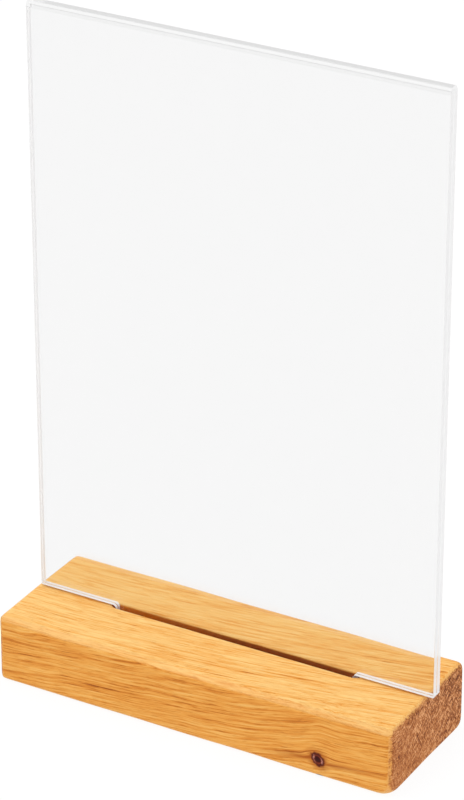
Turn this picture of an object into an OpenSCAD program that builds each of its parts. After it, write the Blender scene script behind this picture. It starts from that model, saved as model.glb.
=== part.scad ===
// Table sign holder: a clear acrylic pocket that plugs into a solid oak block.
// X runs along the block, Y from front to back and Z up. The origin is the
// centre of the block's underside.

/* [Oak block] */
// Length of the block
block_l = 150; // [130:1:220]
// Depth of the block from front to back
block_d = 52; // [40:1:80]
// Height of the block
block_h = 25; // [22:1:40]
// Radius of the block's eased edges
edge_r = 2; // [1:0.5:4]

/* [Slot] */
// How far the slot and the sleeve stand to the right of the block's centre
slot_right = 2.25; // [0:0.25:4]
// How far the slot and the sleeve stand behind the block's centre
slot_back = 0.7; // [0:0.1:4]
// How deep the tongue sits in the block
slot_depth = 15; // [8:1:18]
// Gap between the tongue and each long side of the slot
side_clearance = 0.15; // [0.1:0.05:0.4]

/* [Acrylic sleeve] */
// Width of the sleeve
sleeve_w = 150; // [120:1:220]
// Height of the sleeve above its shoulders
sleeve_h = 212; // [120:1:300]
// Thickness of the acrylic sheet
sheet_t = 2; // [1.5:0.25:3]
// Gap between the two walls, where a printed card slides in
pocket_gap = 0.5; // [0.3:0.1:1]
// Width of the tongue that plugs into the slot
tongue_w = 90.5; // [60:0.5:100]
// Gap between the sleeve's shoulders and the top of the block
shoulder_gap = 0.7; // [0.3:0.1:1.5]
// Radius of the corner between each shoulder and the tongue
notch_r = 1.4; // [0.5:0.1:1.4]

/* [Hidden] */
$fn = 64;
// Thickness of the folded sleeve
sleeve_t = 2 * sheet_t + pocket_gap;
slot_w = sleeve_t + 2 * side_clearance;
slot_floor = block_h - slot_depth;
shoulder_z = block_h + shoulder_gap;
top_z = shoulder_z + sleeve_h;
// Height of the line where the flat walls turn into the bend
bend_z = top_z - sleeve_t / 2;
// How far a cutter reaches past the face that it cuts
past = 1;

module rounded_rectangle(w, h, r) {
  square([w - 2 * r, h], center = true);
  square([w, h - 2 * r], center = true);
  for (x = [-1, 1], y = [-1, 1])
    translate([x * (w / 2 - r), y * (h / 2 - r)]) circle(r);
}

// The block with every edge rounded, centred on the origin
module eased_block() {
  intersection() {
    linear_extrude(block_h, center = true)
      rounded_rectangle(block_l, block_d, edge_r);
    rotate([90, 0, 0]) linear_extrude(block_d, center = true)
      rounded_rectangle(block_l, block_h, edge_r);
    rotate([90, 0, 90]) linear_extrude(block_l, center = true)
      rounded_rectangle(block_d, block_h, edge_r);
  }
}

// The stopped slot: straight sides as long as the tongue is wide, and round ends
// beyond them, as a router leaves it
module slot_cut() {
  translate([slot_right, slot_back, slot_floor]) linear_extrude(slot_depth + past) {
    square([tongue_w, slot_w], center = true);
    for (x = [-1, 1])
      translate([x * tongue_w / 2, 0]) circle(slot_w / 2);
  }
}

module oak_base() {
  color("peru") difference() {
    translate([0, 0, block_h / 2]) eased_block();
    slot_cut();
  }
}

// One sheet seen from its end: two flat walls joined by a half-round bend
module folded_section() {
  difference() {
    union() {
      translate([-sleeve_t / 2, slot_floor]) square([sleeve_t, bend_z - slot_floor]);
      translate([0, bend_z]) circle(sleeve_t / 2);
    }
    translate([-pocket_gap / 2, slot_floor - past])
      square([pocket_gap, bend_z - slot_floor + past]);
    translate([0, bend_z]) circle(pocket_gap / 2);
  }
}

// The cut below one shoulder, with a round inner corner beside the tongue
module shoulder_cut() {
  cut_w = (sleeve_w - tongue_w) / 2;
  cut_h = shoulder_z - slot_floor;
  difference() {
    translate([tongue_w / 2, slot_floor - past])
      square([cut_w + past, cut_h + past]);
    translate([tongue_w / 2, shoulder_z]) difference() {
      translate([-past, -notch_r]) square([notch_r + past, notch_r + past]);
      translate([notch_r, -notch_r]) circle(notch_r);
    }
  }
}

module acrylic_sleeve() {
  color("aliceblue", 0.35) translate([slot_right, slot_back, 0]) difference() {
    rotate([90, 0, 90]) linear_extrude(sleeve_w, center = true) folded_section();
    for (side = [0, 1])
      mirror([side, 0, 0]) rotate([90, 0, 0])
        linear_extrude(sleeve_t + 2 * past, center = true) shoulder_cut();
  }
}

oak_base();
acrylic_sleeve();
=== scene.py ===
"""Looks for a table sign holder: an oiled oak block and the folded acrylic sleeve it holds.

The object's lengths are in millimetres, in the CAD frame, and MM turns them into metres. The floor and
the lamp are placed in metres.
"""

import math

import bmesh
import bpy
import numpy as np
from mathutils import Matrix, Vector, noise


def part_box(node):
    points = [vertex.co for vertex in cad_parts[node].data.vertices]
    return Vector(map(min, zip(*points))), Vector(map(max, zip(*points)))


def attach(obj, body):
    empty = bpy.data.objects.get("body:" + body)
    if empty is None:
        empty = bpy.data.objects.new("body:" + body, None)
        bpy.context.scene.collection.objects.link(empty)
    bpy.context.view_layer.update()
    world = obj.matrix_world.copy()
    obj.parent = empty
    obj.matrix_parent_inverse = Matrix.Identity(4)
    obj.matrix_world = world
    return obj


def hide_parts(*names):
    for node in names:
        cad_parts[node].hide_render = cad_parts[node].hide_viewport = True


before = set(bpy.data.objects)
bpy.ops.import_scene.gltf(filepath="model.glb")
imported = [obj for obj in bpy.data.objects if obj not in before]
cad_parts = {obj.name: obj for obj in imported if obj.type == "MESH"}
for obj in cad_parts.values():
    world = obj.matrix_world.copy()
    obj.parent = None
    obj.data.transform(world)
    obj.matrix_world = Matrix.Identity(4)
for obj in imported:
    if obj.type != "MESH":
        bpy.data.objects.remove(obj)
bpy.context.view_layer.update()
MM = 0.001

# Oak block, with its box from the frame
BLOCK_LOW, BLOCK_HIGH = (Vector(corner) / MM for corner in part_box("oak_base"))
BLOCK_MIDDLE = (BLOCK_LOW + BLOCK_HIGH) / 2
BLOCK_HALF = (BLOCK_HIGH - BLOCK_LOW) / 2
BLOCK_TOP = BLOCK_HIGH.z
BLOCK_FRONT = BLOCK_LOW.y
# Size of the faces in the block's even net, and how close two points are when they are welded
REMESH_SIZE = 0.55
WELD = 0.001
# How deep each edge is sanded back, and how softly; the top front edge is sanded most
TOP_FRONT_EASE = (2.1, 0.45)
OTHER_EASE = (1.35, 0.2)
EASE_DRIFT, DRIFT_STEP = 0.3, 9.0
# How far each worn corner is cut back, by the signs of its x, y and z
ROUNDED_CORNERS = {
    (1, -1, -1): 2.8,
    (1, 1, 1): 1.4,
    (1, 1, -1): 2.1,
    (-1, -1, 1): 1.7,
    (-1, 1, 1): 1.6,
    (-1, -1, -1): 1.2,
}
CORNER_SOFTNESS = 0.45

# Grain: the tree's pith runs along the block outside it, and the fibres lean away from the block's length
PITH_Y, PITH_Z = -60, 104
LEAN_Y, LEAN_Z = 0.13, 0.11
# Middle of the knot on the front face, and how deep the knot and its stain go
KNOT_X, KNOT_Z = 48.3, 6.8
KNOT_DEPTH = 9
# Where the short drying crack lies on the ends: how far from the pith, and how far round it in
# hundredths of a radian
CRACK_RING, CRACK_ROUND = 112.9, -107.8
# Half the length along the block inside which the slot's walls are painted darker, as painted shade
SLOT_SHADE_REACH = 50

# Acrylic sleeve, with its box from the frame and its shoulders and notches as in the CAD model
SLEEVE_LOW, SLEEVE_HIGH = (Vector(corner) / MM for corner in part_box("acrylic_sleeve"))
SLEEVE_MIDDLE = (SLEEVE_LOW + SLEEVE_HIGH) / 2
SLEEVE_T = SLEEVE_HIGH.y - SLEEVE_LOW.y
BEND_Z = SLEEVE_HIGH.z - SLEEVE_T / 2
SHOULDER_GAP = 0.7
SHOULDER_Z = BLOCK_TOP + SHOULDER_GAP
TONGUE_W = 90.5
NOTCH_R = 1.4
# The sheet grows a little thicker than the CAD model's, towards the pocket, because the photo shows
# almost no gap there
SHEET_T = 2.15
EDGE_BEVEL = 0.1
ACRYLIC_IOR = 1.49


# ---------------------------------------------------------------- helpers

class Material:
    """A node material. Any input takes a number, a tuple or another node's output."""

    def __init__(self, name):
        self.made = bpy.data.materials.new(name)
        self.made.use_nodes = True
        self.tree = self.made.node_tree
        self.shader = self.tree.nodes["Principled BSDF"]

    def put(self, socket, value):
        if isinstance(value, bpy.types.NodeSocket):
            self.tree.links.new(value, socket)
        else:
            socket.default_value = value

    def node(self, kind, inputs=(), **settings):
        made = self.tree.nodes.new("ShaderNode" + kind)
        for name, value in settings.items():
            setattr(made, name, value)
        for key, value in dict(inputs).items():
            self.put(made.inputs[key], value)
        return made

    def math(self, operation, *values):
        made = self.node("Math", operation=operation)
        for socket, value in zip(made.inputs, values):
            self.put(socket, value)
        return made.outputs[0]

    def add(self, *values):
        total = values[0]
        for value in values[1:]:
            total = self.math("ADD", total, value)
        return total

    def less(self, value, taken):
        return self.math("SUBTRACT", value, taken)

    def times(self, value, factor):
        return self.math("MULTIPLY", value, factor)

    def squared(self, value):
        return self.times(value, value)

    def swing(self, value, amount):
        """Noise about 0.5 turned into noise about 0."""
        return self.times(self.less(value, 0.5), amount)

    def hill(self, value, width):
        """1 where value is 0, falling smoothly to nothing over about twice the width."""
        over = self.math("DIVIDE", value, width)
        return self.math("EXPONENT", self.times(self.squared(over), -1))

    def vector(self, x, y, z):
        return self.node("CombineXYZ", {"X": x, "Y": y, "Z": z}).outputs[0]

    def noise(self, place, scale=1.0, detail=2.0, roughness=0.5):
        """Noise about 0.5."""
        inputs = {"Vector": place, "Scale": scale, "Detail": detail, "Roughness": roughness}
        return self.node("TexNoise", inputs).outputs["Fac"]

    def steps(self, value, low, high, new_low=0.0, new_high=1.0):
        """Value taken smoothly from the range low to high into new_low to new_high."""
        ends = {"From Min": low, "From Max": high, "To Min": new_low, "To Max": new_high}
        made = self.node("MapRange", {"Value": value, **ends}, interpolation_type="SMOOTHSTEP")
        return made.outputs["Result"]

    def ramp(self, value, *stops):
        """Colour along value, through (place, colour) stops in rising order."""
        made = self.node("ValToRGB", {"Fac": value})
        points = made.color_ramp.elements
        for point, (place, colour) in zip(points, (stops[0], stops[-1])):
            point.position = place
            point.color = (*colour, 1)
        for place, colour in stops[1:-1]:
            points.new(place).color = (*colour, 1)
        return made.outputs["Color"]

    def blend(self, share, first, second):
        made = self.node("Mix", data_type="RGBA")
        self.put(made.inputs["Factor"], share)
        self.put(made.inputs[6], first)
        self.put(made.inputs[7], second)
        return made.outputs[2]

    def bump(self, height, distance, strength):
        inputs = {"Height": height, "Distance": distance, "Strength": strength}
        return self.node("Bump", inputs).outputs["Normal"]

    def see_through(self, light=1.0, eye=0.0, tint=(1, 1, 1, 1)):
        """Lets a share of the light of the lamps and of what is behind pass without bending.

        What has come in unbent also leaves unbent.
        """
        path = self.node("LightPath")
        lighting = self.math("MAXIMUM", path.outputs["Is Shadow Ray"], path.outputs["Is Diffuse Ray"])
        unbent = self.steps(path.outputs["Ray Depth"], 0, 1, 1, 0)
        leaving = self.times(unbent, self.node("NewGeometry").outputs["Backfacing"])
        share = self.math("MAXIMUM", self.steps(lighting, 0, 1, eye, light), leaving)
        clear = self.node("BsdfTransparent", {"Color": tint})
        sides = {0: share, 1: self.shader.outputs[0], 2: clear.outputs[0]}
        surface = self.tree.nodes["Material Output"].inputs["Surface"]
        self.put(surface, self.node("MixShader", sides).outputs[0])

    def shade(self, **inputs):
        """Sets the Principled shader's inputs; an underscore in a name stands for a space."""
        for name, value in inputs.items():
            self.put(self.shader.inputs[name.replace("_", " ")], value)
        return self.made


def new_object(name, data):
    made = bpy.data.objects.new(name, data)
    bpy.context.scene.collection.objects.link(made)
    return made


def apply_modifiers(piece):
    """Turns what the piece's modifiers make into its own mesh."""
    graph = bpy.context.evaluated_depsgraph_get()
    mesh = bpy.data.meshes.new_from_object(piece.evaluated_get(graph))
    piece.modifiers.clear()
    piece.data = mesh


# ---------------------------------------------------------------- oak block

def remeshed_block():
    """The CAD block with its slot, as an even net of small faces."""
    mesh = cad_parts["oak_base"].data.copy()
    mesh.materials.clear()
    net = bmesh.new()
    net.from_mesh(mesh)
    bmesh.ops.remove_doubles(net, verts=net.verts, dist=WELD * MM)
    net.to_mesh(mesh)
    net.free()
    piece = new_object("oak_block", mesh)
    remesh = piece.modifiers.new("even_net", "REMESH")
    remesh.mode = "VOXEL"
    remesh.voxel_size = REMESH_SIZE * MM
    apply_modifiers(piece)
    return piece


def soft_excess(value, softness):
    """0 below zero and value above it, with a smooth turn."""
    return softness * np.logaddexp(0, value / softness)


def wander(along, seed, size):
    """Smooth random values between -1 and 1 for an array of places along an edge."""
    steps = np.arange(along.min() - size, along.max() + 2 * size, size)
    knots = [noise.noise((step / size * 0.37, seed * 7.3, 1.7)) * 2 for step in steps]
    return np.interp(along, steps, knots)


def ease_edges(points):
    """Sands the twelve edges as if by hand: each is cut back by a depth that drifts along it."""
    offset = points - np.array(BLOCK_MIDDLE)
    half = np.array(BLOCK_HALF)
    seed = 0
    top_front = (0, -1, 1)
    for axis in range(3):
        first, second = (a for a in range(3) if a != axis)
        for sign_a in (-1, 1):
            for sign_b in (-1, 1):
                seed += 1
                depth, softness = TOP_FRONT_EASE if (axis, sign_a, sign_b) == top_front else OTHER_EASE
                depth = depth + EASE_DRIFT * wander(offset[:, axis], seed, DRIFT_STEP)
                past_first = sign_a * offset[:, first] - half[first]
                past_second = sign_b * offset[:, second] - half[second]
                cut = soft_excess(past_first + past_second + depth, softness) / 2
                offset[:, first] -= sign_a * cut
                offset[:, second] -= sign_b * cut
    return offset + np.array(BLOCK_MIDDLE)


def knock_corner(points, signs, depth):
    """Rounds one corner off by a soft plane across it."""
    normal = np.array(signs) / math.sqrt(3)
    corner = np.array(BLOCK_MIDDLE) + np.array(signs) * np.array(BLOCK_HALF)
    over = (points - corner) @ normal + depth
    return points - np.outer(soft_excess(over, CORNER_SOFTNESS), normal)


def oak_block():
    piece = remeshed_block()
    count = len(piece.data.vertices)
    flat = np.zeros(count * 3, np.float32)
    piece.data.vertices.foreach_get("co", flat)
    points = flat.reshape(-1, 3).astype(float) / MM
    points = ease_edges(points)
    for signs, depth in ROUNDED_CORNERS.items():
        points = knock_corner(points, signs, depth)
    piece.data.vertices.foreach_set("co", (points * MM).astype(np.float32).ravel())
    piece.data.polygons.foreach_set("use_smooth", [True] * len(piece.data.polygons))
    piece.data.materials.append(oak_material())
    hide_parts("oak_base")
    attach(piece, "base")
    return piece


class Grain:
    """Where a point of the block lies in the tree: how far from the pith, and how far round it."""

    def __init__(self, m, top_face):
        self.m = m
        self.top_face = top_face
        place = m.node("TexCoord").outputs["Object"]
        self.in_mm = m.node("VectorMath", {0: place, "Scale": 1 / MM}, operation="SCALE").outputs[0]
        split = m.node("SeparateXYZ", {0: self.in_mm})
        self.x, self.y, self.z = (split.outputs[i] for i in range(3))
        self.knot_x = m.less(self.x, KNOT_X)
        self.knot_z = m.less(self.z, KNOT_Z)
        self.near_front = m.steps(self.y, BLOCK_FRONT, BLOCK_FRONT + KNOT_DEPTH, 1, 0)
        y, z = self.swayed()
        from_y = m.less(y, PITH_Y)
        from_z = m.less(z, PITH_Z)
        self.ring = m.math("SQRT", m.add(m.squared(from_y), m.squared(from_z)))
        self.round_pith = m.times(m.math("ARCTAN2", from_z, from_y), 100)

    def swayed(self):
        """The place across the grain, with its lean, its sway and its detour round the knot undone."""
        m = self.m
        slow = m.vector(m.times(self.x, 0.016), m.times(self.y, 0.02), m.times(self.z, 0.02))
        sway = m.swing(m.noise(slow, detail=1), 3)
        quick = m.vector(m.times(self.x, 0.07), m.times(self.y, 0.05), m.times(self.z, 0.12))
        ripple = m.swing(m.noise(quick, detail=1), 1.2)
        rise = m.steps(self.knot_x, -34, 4, 0, 3)
        close = m.times(m.hill(self.knot_x, 5), m.steps(self.knot_z, -2, 2, -1.2, 1.2))
        detour = m.times(m.add(rise, close), self.near_front)
        lean_y = m.times(m.times(self.x, m.add(m.times(self.x, 0.0008), LEAN_Y)), self.top_face)
        lean_z = m.times(m.times(self.x, LEAN_Z), m.less(1, self.top_face))
        y = m.less(m.add(self.y, m.times(sway, 0.6)), lean_y)
        return y, m.less(m.less(m.add(self.z, sway, ripple), detour), lean_z)

    def streaks(self, along, across, detail, seed=0.0):
        """Noise drawn out along the fibres, and a little along the rings."""
        m = self.m
        round_pith = m.add(m.times(self.round_pith, across * 0.85), seed)
        place = m.vector(m.times(self.x, along), m.times(self.ring, across), round_pith)
        return m.noise(place, detail=detail, roughness=0.6)


def long_grain(m, grain):
    """Colour and relief of the faces that run along the grain; the top faces get a paler copy of the
    colour, which is painted light.
    """
    broad = grain.streaks(0.012, 0.13, 2.0)
    rings = grain.streaks(0.008, 0.55, 3.0, 11.0)
    bands = grain.streaks(0.04, 1.0, 3.0, 23.0)
    fine = grain.streaks(0.06, 2.0, 3.0, 37.0)
    hair = grain.streaks(0.16, 5.0, 2.0, 51.0)
    spindles = m.steps(grain.streaks(0.09, 1.1, 2.0, 77.0), 0.58, 0.72)
    pores = m.steps(grain.streaks(0.22, 5.5, 1.0, 91.0), 0.6, 0.72)
    depth = m.add(
        m.swing(broad, 0.5), m.swing(rings, 0.5), m.swing(bands, 1.15), m.swing(fine, 1.4),
        m.swing(hair, 0.5), m.times(spindles, 0.25), m.times(pores, 0.2),
    )
    side = m.ramp(
        m.add(depth, 0.38),
        (0.0, (0.90, 0.49, 0.13)), (0.35, (0.83, 0.365, 0.066)), (0.62, (0.69, 0.235, 0.026)),
        (1.0, (0.34, 0.08, 0.006)),
    )
    redder = m.times(m.hill(grain.x, 35), m.steps(grain.y, -20, 10, 0.12, 0.03))
    darker = m.times(m.steps(grain.x, 48, 72, 0, 0.13), m.steps(grain.y, -8, 4))
    # Painted light: the top faces take this paler, less deep colour, standing in for the overhead lamp
    # and the sheen that make the top look paler than the sides.
    top = m.ramp(
        m.add(m.times(depth, 1.2), m.steps(grain.y, -20, 22, 0.19, 0.25), redder, darker),
        (0.0, (0.88, 0.56, 0.20)), (0.4, (0.83, 0.425, 0.108)), (0.7, (0.75, 0.29, 0.038)),
        (1.0, (0.48, 0.14, 0.012)),
    )
    relief = m.add(m.times(fine, 0.6), m.times(hair, 0.5), m.times(pores, -0.5), m.times(spindles, -0.3))
    return m.blend(grain.top_face, side, top), relief


def end_grain(m, grain):
    """Colour and relief of the two sawn ends: fine lines along the rings, open pores and faint rays."""
    def across_rings(across, around, seed):
        place = m.vector(seed, m.times(grain.ring, across), m.times(grain.round_pith, around))
        return m.noise(place, detail=2, roughness=0.65)

    lines = across_rings(0.7, 0.08, 3.0)
    thin_lines = across_rings(1.9, 0.35, 9.0)
    rays = across_rings(0.35, 2.0, 17.0)
    speckle = m.noise(grain.in_mm, scale=2.3, detail=2, roughness=0.7)
    patches = m.noise(grain.in_mm, scale=0.09, detail=1)
    marks = m.add(
        m.swing(lines, 0.6), m.swing(thin_lines, 1.8), m.swing(rays, 1.4), m.swing(speckle, 1.3),
    )
    strength = m.steps(m.add(grain.y, grain.z), -20, 35, 0.6, 1.35)
    depth = m.add(m.times(marks, strength), m.swing(patches, 0.5), m.times(strength, 0.12), 0.36)
    crack_wide = m.hill(m.less(grain.round_pith, CRACK_ROUND), 0.22)
    crack = m.times(crack_wide, m.hill(m.less(grain.ring, CRACK_RING), 2.8))
    depth = m.add(depth, m.times(crack, 0.6))
    colour = m.ramp(
        depth,
        (0.0, (0.90, 0.47, 0.22)), (0.38, (0.58, 0.217, 0.066)), (0.62, (0.38, 0.113, 0.027)),
        (1.0, (0.11, 0.025, 0.008)),
    )
    return colour, m.add(m.times(speckle, 2.0), m.times(thin_lines, 2.0), m.times(crack, -2))


def add_knot(m, grain, colour):
    """The knot low on the front: dark heart, pale slivers, dark ring, stained streaks and a split."""
    front = m.steps(grain.y, BLOCK_FRONT + KNOT_DEPTH / 3, BLOCK_FRONT + KNOT_DEPTH, 1, 0)
    ragged = m.swing(m.noise(grain.in_mm, scale=0.8, detail=3), 1.3)
    tilted = m.add(grain.knot_x, m.times(grain.knot_z, 0.25))
    reach = m.math("SQRT", m.add(m.squared(tilted), m.squared(grain.knot_z)))
    reach = m.add(reach, ragged)
    left_z = m.less(grain.knot_z, m.add(m.times(grain.knot_x, 0.17), 0.5))
    stain_left = m.times(m.hill(left_z, 1.0), m.steps(grain.knot_x, -24, -3, 0, 0.95))
    stain_left = m.times(stain_left, m.steps(grain.knot_x, -1, 1, 1, 0))
    right_z = m.less(grain.knot_z, m.less(m.times(grain.knot_x, 0.08), 1.1))
    stain_right = m.times(m.hill(right_z, 0.9), m.steps(grain.knot_x, 3, 30, 0.95, 0))
    stain_right = m.times(stain_right, m.steps(grain.knot_x, -1, 1))
    halo = m.steps(reach, 2.3, 5.2, 0.8, 0)
    stain = m.math("MAXIMUM", m.math("MAXIMUM", stain_left, stain_right), halo)
    stain = m.times(stain, m.steps(grain.streaks(0.06, 1.6, 2.0, 5.0), 0.3, 0.6, 0.45, 1))
    colour = m.blend(m.times(stain, front), colour, (0.40, 0.09, 0.004, 1))
    knot = m.ramp(
        m.times(reach, 0.25),
        (0.0, (0.03, 0.0, 0.0)), (0.26, (0.05, 0.001, 0.0)), (0.38, (0.22, 0.03, 0.008)),
        (0.48, (0.06, 0.004, 0.001)), (0.6, (0.16, 0.022, 0.003)), (0.8, (0.34, 0.08, 0.006)),
    )
    sliver = m.times(m.hill(m.less(reach, 1.5), 0.32), m.steps(m.math("ABSOLUTE", tilted), 0.8, 1.3))
    sliver = m.times(sliver, m.steps(m.noise(grain.in_mm, scale=0.9, detail=1), 0.35, 0.6, 0.2, 0.9))
    knot = m.blend(sliver, knot, (0.62, 0.27, 0.20, 1))
    colour = m.blend(m.times(m.steps(reach, 2.2, 3.0, 1, 0), front), colour, knot)
    split_x = m.hill(m.less(grain.knot_x, 0.4), 1.5)
    split_z = m.hill(m.less(grain.z, 0.3), 0.8)
    split_y = m.steps(grain.y, BLOCK_FRONT + 1.5, BLOCK_FRONT + 2.5, 1, 0)
    split = m.times(m.times(split_x, split_z), split_y)
    return m.blend(m.steps(split, 0.3, 0.5), colour, (0.02, 0.006, 0.003, 1))


def oak_material():
    m = Material("oiled_oak")
    facing = m.node("SeparateXYZ", {0: m.node("TexCoord").outputs["Normal"]})
    sideways, along_y, upward = (m.math("ABSOLUTE", facing.outputs[i]) for i in range(3))
    grain = Grain(m, m.steps(upward, 0.3, 0.97))
    ragged = m.swing(m.noise(grain.in_mm, scale=0.9, detail=2), 0.5)
    end_face = m.steps(m.add(sideways, ragged), 0.6, 0.8)
    flatness = m.math("MAXIMUM", m.math("MAXIMUM", sideways, along_y), upward)
    # The edges where the faces turn are painted paler and more tan: partly wear, partly a painted
    # highlight along the rounded edges.
    wear_and_highlight = m.steps(grain.streaks(0.05, 0.6, 1.0), 0.3, 0.6, 0.5, 1)
    arris = m.times(m.steps(flatness, 0.75, 0.96, 1, 0), wear_and_highlight)
    arris = m.times(m.times(arris, 0.25), m.less(1, end_face))

    colour, relief = long_grain(m, grain)
    end, end_relief = end_grain(m, grain)
    colour = m.blend(end_face, colour, end)
    colour = m.blend(arris, colour, (0.93, 0.55, 0.24, 1))
    colour = add_knot(m, grain, colour)
    # Painted shade in the slot: its walls are darker than the faces, and darkest at the right as a
    # painted shadow of the front lip.
    cut = m.blend(m.steps(grain.x, -45, 15), (0.66, 0.14, 0.002, 1), (0.33, 0.038, 0.0, 1))
    colour = m.blend(in_slot(m, grain), colour, cut)
    height = m.node("Mix", {"Factor": end_face, 2: relief, 3: end_relief}, data_type="FLOAT").outputs[0]
    bumps = m.bump(height, 0.12 * MM, 0.8)
    rough = m.add(m.steps(relief, 0.3, 0.9, 0.6, 0.45), m.times(end_face, 0.2))
    return m.shade(Base_Color=colour, Roughness=rough, Normal=bumps, Specular_IOR_Level=0.15)


def in_slot(m, grain):
    """1 on the slot's own walls, where the block's material paints the wood darker as shade."""
    off_centre = m.math("ABSOLUTE", m.less(grain.y, SLEEVE_MIDDLE.y))
    along = m.math("ABSOLUTE", m.less(grain.x, SLEEVE_MIDDLE.x))
    between = m.steps(off_centre, SLEEVE_T / 2 + 0.3, SLEEVE_T / 2 + 0.6, 1, 0)
    inside = m.times(between, m.steps(along, SLOT_SHADE_REACH, SLOT_SHADE_REACH + 1, 1, 0))
    return m.times(inside, m.steps(grain.z, BLOCK_TOP - 0.8, BLOCK_TOP - 0.2, 1, 0))


# ---------------------------------------------------------------- acrylic sleeve

def wall_outline():
    """One wall's outline as (x, z), from the bend's left end round the tongue to its right end."""
    half_w = (SLEEVE_HIGH.x - SLEEVE_LOW.x) / 2
    half_t = TONGUE_W / 2
    turns = [math.radians(90 * i / 8) for i in range(9)]
    notch = [
        (half_t + NOTCH_R * (1 - math.cos(turn)), SHOULDER_Z - NOTCH_R * (1 - math.sin(turn)))
        for turn in turns
    ]
    right = [(half_t, SLEEVE_LOW.z), *notch, (half_w, SHOULDER_Z), (half_w, BEND_Z)]
    left = [(-x, z) for x, z in reversed(right)]
    return [(SLEEVE_MIDDLE.x + x, z) for x, z in [*left, *right]]


def acrylic_sleeve():
    """One sheet folded over at the top: its middle surface, made as thick as the sheet."""
    outline = wall_outline()
    middle_r = (SLEEVE_T - SHEET_T) / 2
    net = bmesh.new()

    def corner(x, y, z):
        return net.verts.new(Vector((x, SLEEVE_MIDDLE.y + y, z)) * MM)

    turns = [math.radians(180 * i / 24) for i in range(25)]
    sides = (outline[0][0], outline[-1][0])
    bend = [
        [corner(x, -middle_r * math.cos(turn), BEND_Z + middle_r * math.sin(turn)) for turn in turns]
        for x in sides
    ]
    for i in range(len(turns) - 1):
        strip = net.faces.new((bend[0][i], bend[1][i], bend[1][i + 1], bend[0][i + 1]))
        strip.material_index = 1
    inner = outline[1:-1]
    front = [bend[0][0], *(corner(x, -middle_r, z) for x, z in inner), bend[1][0]]
    back = [bend[0][-1], *(corner(x, middle_r, z) for x, z in inner), bend[1][-1]]
    net.faces.new(front)
    net.faces.new(reversed(back))
    bmesh.ops.recalc_face_normals(net, faces=net.faces)
    mesh = bpy.data.meshes.new("acrylic_sheet")
    net.to_mesh(mesh)
    net.free()
    mesh.polygons.foreach_set("use_smooth", [True] * len(mesh.polygons))
    piece = new_object("acrylic_sheet", mesh)
    for material in (acrylic_material(), bend_material(), cut_edge_material()):
        piece.data.materials.append(material)
    thick = piece.modifiers.new("sheet", "SOLIDIFY")
    thick.thickness = SHEET_T * MM
    thick.offset = 0
    thick.use_even_offset = True
    thick.material_offset_rim = 2
    bevel = piece.modifiers.new("edges", "BEVEL")
    bevel.width = EDGE_BEVEL * MM
    bevel.segments = 2
    bevel.limit_method = "ANGLE"
    bevel.angle_limit = math.radians(60)
    bevel.harden_normals = True
    apply_modifiers(piece)
    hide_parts("acrylic_sleeve")
    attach(piece, "sleeve")
    return piece


def acrylic_material():
    """The clear walls, with a faint grey line painted into the tint where the bend begins, as painted
    shade.
    """
    m = Material("clear_acrylic")
    place = m.node("TexCoord").outputs["Object"]
    ripple = m.noise(place, scale=35, detail=1)
    bumps = m.bump(ripple, 0.02 * MM, 0.5)
    height = m.node("SeparateXYZ", {0: place}).outputs["Z"]
    # Painted shade: the tint is darker along a thin line where the bend begins.
    line = m.hill(m.less(height, BEND_Z * MM), 0.35 * MM)
    tint_with_shaded_line = m.blend(line, (0.953, 0.953, 0.953, 1), (0.85, 0.85, 0.85, 1))
    m.shade(Base_Color=tint_with_shaded_line, Roughness=0.0, IOR=ACRYLIC_IOR, Transmission_Weight=1.0, Normal=bumps)
    m.see_through()
    return m.made


def bend_material():
    """The bend, as clear as the walls, with fine marks along it where the sheet was heated."""
    m = Material("acrylic_bend")
    place = m.node("TexCoord").outputs["Object"]
    marks = m.noise(m.node("Mapping", {"Vector": place, "Scale": (20, 900, 900)}).outputs[0], detail=1)
    tint = m.blend(marks, (0.94, 0.94, 0.94, 1), (0.97, 0.97, 0.97, 1))
    bumps = m.bump(marks, 0.01 * MM, 0.5)
    m.shade(Base_Color=tint, Roughness=0.03, IOR=ACRYLIC_IOR, Transmission_Weight=1.0, Normal=bumps)
    m.see_through(eye=0.88, tint=(0.91, 0.91, 0.91, 1))
    return m.made


def cut_edge_material():
    """The saw-cut edges: frosted by fine lines, with a faint white glow of their own that is painted
    light.
    """
    m = Material("acrylic_cut_edge")
    place = m.node("TexCoord").outputs["Object"]
    lines = m.noise(place, scale=900, detail=1)
    tint = m.blend(lines, (0.72, 0.72, 0.72, 1), (0.78, 0.78, 0.78, 1))
    rough = m.steps(lines, 0.3, 0.7, 0.35, 0.5)
    m.shade(Base_Color=tint, Roughness=rough, IOR=ACRYLIC_IOR, Transmission_Weight=0.12)
    # Painted light: the edges glow a little, standing in for the light the clear sheet carries to its cut
    # edges.
    m.shade(Emission_Color=(1, 1, 1, 1), Emission_Strength=0.12)
    m.see_through(light=0, eye=0.12)
    return m.made


# ---------------------------------------------------------------- studio

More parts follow.
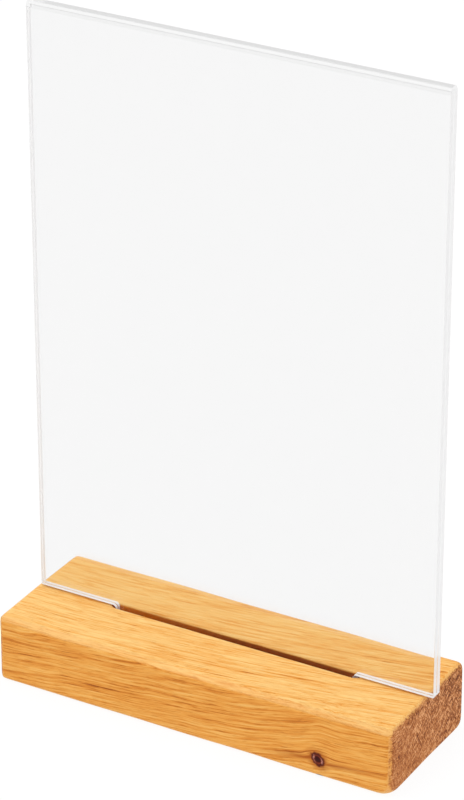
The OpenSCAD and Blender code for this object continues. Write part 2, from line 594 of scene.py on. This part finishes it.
def make_camera():
    """A long lens from the front right, looking down at the holder."""
    yaw, pitch = math.radians(29.83), math.radians(26.85)
    aim_right, aim_up, distance = 1.18, 101.5, 1213
    right = Vector((math.cos(yaw), math.sin(yaw), 0))
    level = Vector((-math.sin(yaw), math.cos(yaw), 0))
    forward = level * math.cos(pitch) + Vector((0, 0, -math.sin(pitch)))
    up = right.cross(forward)
    target = (aim_right * right + aim_up * up) * MM
    lens = bpy.data.cameras.new("camera")
    lens.lens = 162.3
    camera = new_object("camera", lens)
    camera.location = target - forward * distance * MM
    camera.rotation_mode = "QUATERNION"
    camera.rotation_quaternion = forward.to_track_quat("-Z", "Y")
    bpy.context.scene.camera = camera


def make_floor():
    """A pale floor that glows like the bottom of a light tent, so that shadows on it stay faint."""
    bpy.ops.mesh.primitive_plane_add(size=20)
    floor = bpy.context.object
    floor.name = "floor"
    m = Material("floor")
    place = m.node("TexCoord").outputs["Object"]
    tone = m.blend(m.noise(place, scale=2), (0.08, 0.08, 0.08, 1), (0.09, 0.09, 0.09, 1))
    m.shade(Base_Color=tone, Roughness=0.9, Specular_IOR_Level=0.0)
    m.shade(Emission_Color=(1, 1, 1, 1), Emission_Strength=0.92)
    floor.data.materials.append(m.made)


def make_light(name, place, size, power):
    """A soft square lamp that faces the middle of the holder."""
    lamp = bpy.data.lights.new(name, "AREA")
    lamp.size = size
    lamp.energy = power
    made = new_object(name, lamp)
    made.location = place
    made.rotation_mode = "QUATERNION"
    made.rotation_quaternion = (Vector((0, 0, 0.1)) - Vector(place)).to_track_quat("-Z", "Y")


def make_world():
    world = bpy.data.worlds.new("studio")
    world.use_nodes = True
    sky = world.node_tree.nodes["Background"]
    sky.inputs["Color"].default_value = (1, 1, 1, 1)
    sky.inputs["Strength"].default_value = 0.92
    bpy.context.scene.world = world


make_camera()
make_world()
make_light("overhead", (-0.3, -0.2, 1.6), 1.2, 9)
make_floor()
oak_block()
acrylic_sleeve()
bpy.context.scene.view_settings.view_transform = "Standard"
